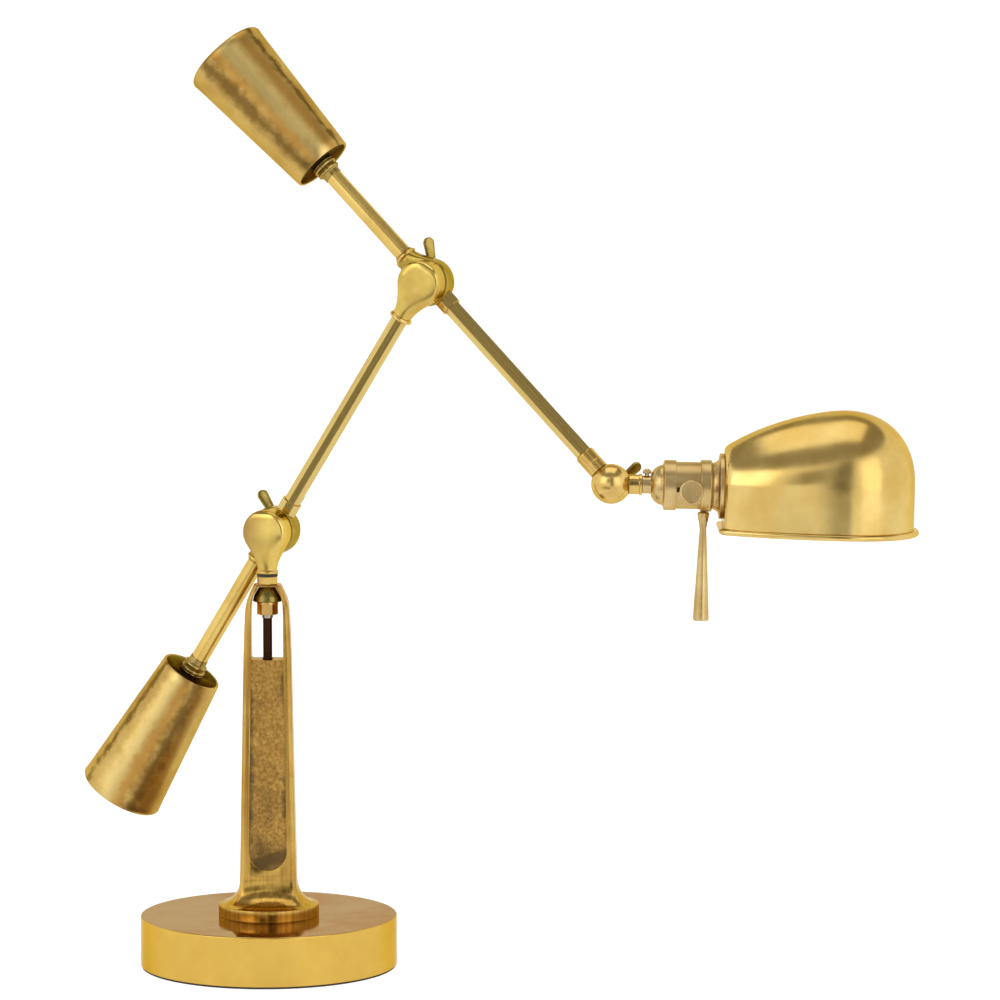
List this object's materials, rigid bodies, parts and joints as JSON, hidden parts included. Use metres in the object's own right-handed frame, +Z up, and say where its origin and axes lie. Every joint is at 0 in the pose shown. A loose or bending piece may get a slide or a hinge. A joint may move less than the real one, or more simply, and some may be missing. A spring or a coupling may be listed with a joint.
{
  "type": "swing arm desk lamp",
  "caption": "Aged brass desk lamp with a weighted round base, cast pillar, two counterbalanced swing arms and a dome shade with a handle.",
  "frame": {"origin": "Middle of the underside of the base's felt, on the pillar's axis", "axes": "+Z up, -Y front (the pillar's panel), +X towards the lamp head at rest"},
  "size_m": [0.6122, 0.2056, 0.693],
  "materials": {
    "aged_brass": "brushed, warm, with brown patina",
    "polished_brass": "polished, with a blotchy patina",
    "cast_brass": "cast and bevelled, dark patina in the recess",
    "brushed_brass": "satin brushed",
    "dark_bronze": "dark olive patina",
    "nickel": "dull nickel",
    "plain_steel": "turned",
    "weight_iron": "as cast",
    "base_felt_cloth": "felt",
    "black_rubber": "matt",
    "brown_cord": "braided cloth over rubber",
    "liner_card": "pressed card",
    "bulb_glass_white": "frosted white"
  },
  "bodies": {
    "base": {"base_shell": "polished_brass", "base_weight": "weight_iron", "base_felt": "base_felt_cloth", "pillar": "cast_brass", "pillar_nipple": "plain_steel", "pillar_nut": "plain_steel", "cord_gland": "black_rubber", "inner_cord": "brown_cord"},
    "swivel": {"swivel_knuckle": "aged_brass", "swivel_stem": "aged_brass", "stem_washer": "black_rubber", "swivel_hex_nut": "aged_brass", "swivel_cup_washer": "dark_bronze", "swivel_lock_nut": "aged_brass", "cord_bush": "nickel", "lower_pivot_stud": "plain_steel"},
    "lower_boom": {"lower_drum": "aged_brass", "lower_friction_washer": "black_rubber", "lower_boom_collar": "aged_brass", "lower_boom_tube": "aged_brass", "lower_boom_wire": "brown_cord", "lower_weight_rod": "aged_brass", "lower_rod_ferrule": "aged_brass", "lower_weight_ferrule": "aged_brass", "lower_weight_shell": "aged_brass", "lower_weight_core": "plain_steel", "lower_weight_cap": "aged_brass", "upper_knuckle": "aged_brass", "upper_pivot_stud": "plain_steel"},
    "upper_boom": {"upper_drum": "aged_brass", "upper_friction_washer": "black_rubber", "upper_boom_collar": "aged_brass", "upper_boom_tube": "aged_brass", "upper_boom_wire": "brown_cord", "upper_weight_rod": "aged_brass", "upper_rod_ferrule": "aged_brass", "upper_weight_ferrule": "aged_brass", "upper_weight_shell": "aged_brass", "upper_weight_core": "plain_steel", "upper_weight_cap": "aged_brass"},
    "head_mount": {"boom_end_sleeve": "aged_brass", "head_knuckle": "aged_brass", "head_pivot_stud": "plain_steel"},
    "lamp_head": {"head_drum": "aged_brass", "head_friction_washer": "black_rubber", "socket_cap": "brushed_brass", "socket_shell": "brushed_brass", "socket_liner": "liner_card", "socket_screw_shell": "brushed_brass", "bulb_base": "nickel", "bulb_glass": "bulb_glass_white"},
    "shade_group": {"shade_holder": "brushed_brass", "shade": "brushed_brass", "handle": "brushed_brass"},
    "lower_wing_nut_body": {"lower_wing_nut": "aged_brass"},
    "upper_wing_nut_body": {"upper_wing_nut": "aged_brass"},
    "head_wing_nut_body": {"head_wing_nut": "aged_brass"},
    "thumb_screw_body": {"socket_thumb_screw": "brushed_brass"},
    "switch_body": {"switch_knob": "brushed_brass"}
  },
  "joints": [
    {"name": "pan_swivel", "type": "hinge", "parent": "base", "child": "swivel", "pos_m": [0, 0, 0.2845], "axis": [0, 0, 1], "range_deg": [-150, 150]},
    {"name": "lower_boom_tilt", "type": "hinge", "parent": "swivel", "child": "lower_boom", "pos_m": [0.00547, 0.01503, 0.323], "axis": [0.342, 0.9397, 0], "range_deg": [-12, 35]},
    {"name": "upper_boom_tilt", "type": "hinge", "parent": "lower_boom", "child": "upper_boom", "pos_m": [0.1196, -0.00948, 0.50804], "axis": [-0.342, -0.9397, 0], "range_deg": [-35, 50]},
    {"name": "head_roll", "type": "hinge", "parent": "upper_boom", "child": "head_mount", "pos_m": [0.25199, -0.05766, 0.36468], "axis": [0.6586, -0.2397, -0.7133], "range_deg": [-80, 80]},
    {"name": "head_tilt", "type": "hinge", "parent": "head_mount", "child": "lamp_head", "pos_m": [0.25199, -0.05766, 0.36468], "axis": [-0.0068, 0.946, -0.3242], "range_deg": [-45, 45]},
    {"name": "shade_turn", "type": "hinge", "parent": "lamp_head", "child": "shade_group", "pos_m": [0.33367, -0.05766, 0.36297], "axis": [0.9998, 0, -0.0209], "range_deg": [-45, 45]},
    {"name": "lower_wing_nut_turn", "type": "hinge", "parent": "swivel", "child": "lower_wing_nut_body", "pos_m": [0.00958, 0.02631, 0.323], "axis": [0.342, 0.9397, 0], "range_deg": [-45, 45]},
    {"name": "upper_wing_nut_turn", "type": "hinge", "parent": "lower_boom", "child": "upper_wing_nut_body", "pos_m": [0.1237, 0.0018, 0.50804], "axis": [0.342, 0.9397, 0], "range_deg": [-45, 45]},
    {"name": "head_wing_nut_turn", "type": "hinge", "parent": "head_mount", "child": "head_wing_nut_body", "pos_m": [0.25188, -0.04347, 0.35982], "axis": [-0.0068, 0.946, -0.3242], "range_deg": [-45, 45]},
    {"name": "thumb_screw_turn", "type": "hinge", "parent": "lamp_head", "child": "thumb_screw_body", "pos_m": [0.27795, -0.05766, 0.37214], "axis": [0.0209, 0, 0.9998], "continuous": true},
    {"name": "switch_turn", "type": "hinge", "parent": "lamp_head", "child": "switch_body", "pos_m": [0.30943, -0.07766, 0.36138], "axis": [0, 1, 0], "continuous": true}
  ]
}
